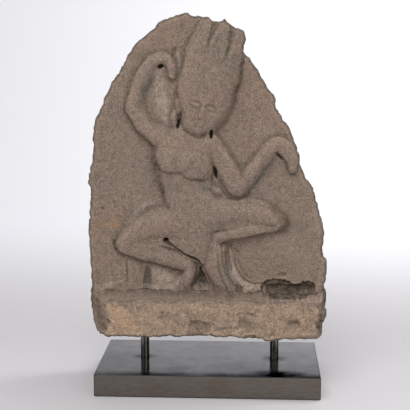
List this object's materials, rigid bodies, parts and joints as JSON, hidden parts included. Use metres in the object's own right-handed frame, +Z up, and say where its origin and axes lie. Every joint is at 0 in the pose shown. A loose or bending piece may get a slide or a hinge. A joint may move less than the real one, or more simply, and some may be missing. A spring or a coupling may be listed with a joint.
{
  "type": "relief fragment of an apsara figure",
  "caption": "Broken slab of sandstone carved in relief with a dancing apsara above a plain ledge, standing on two rods over a steel plate.",
  "frame": {"origin": "centre of the base plate's underside", "axes": "+Z up, +X to the viewer's right along the slab's width, +Y from the carved face to the back"},
  "size_m": [0.323, 0.16, 0.5024],
  "materials": {
    "sandstone": "weathered, finely granular, matt",
    "rod_steel": "blackened, satin",
    "plate_steel": "waxed dark steel, satin with a soft gloss"
  },
  "bodies": {
    "root": {"carved_stone": "sandstone", "rod_left": "rod_steel", "rod_right": "rod_steel", "base_plate": "plate_steel"}
  },
  "joints": []
}
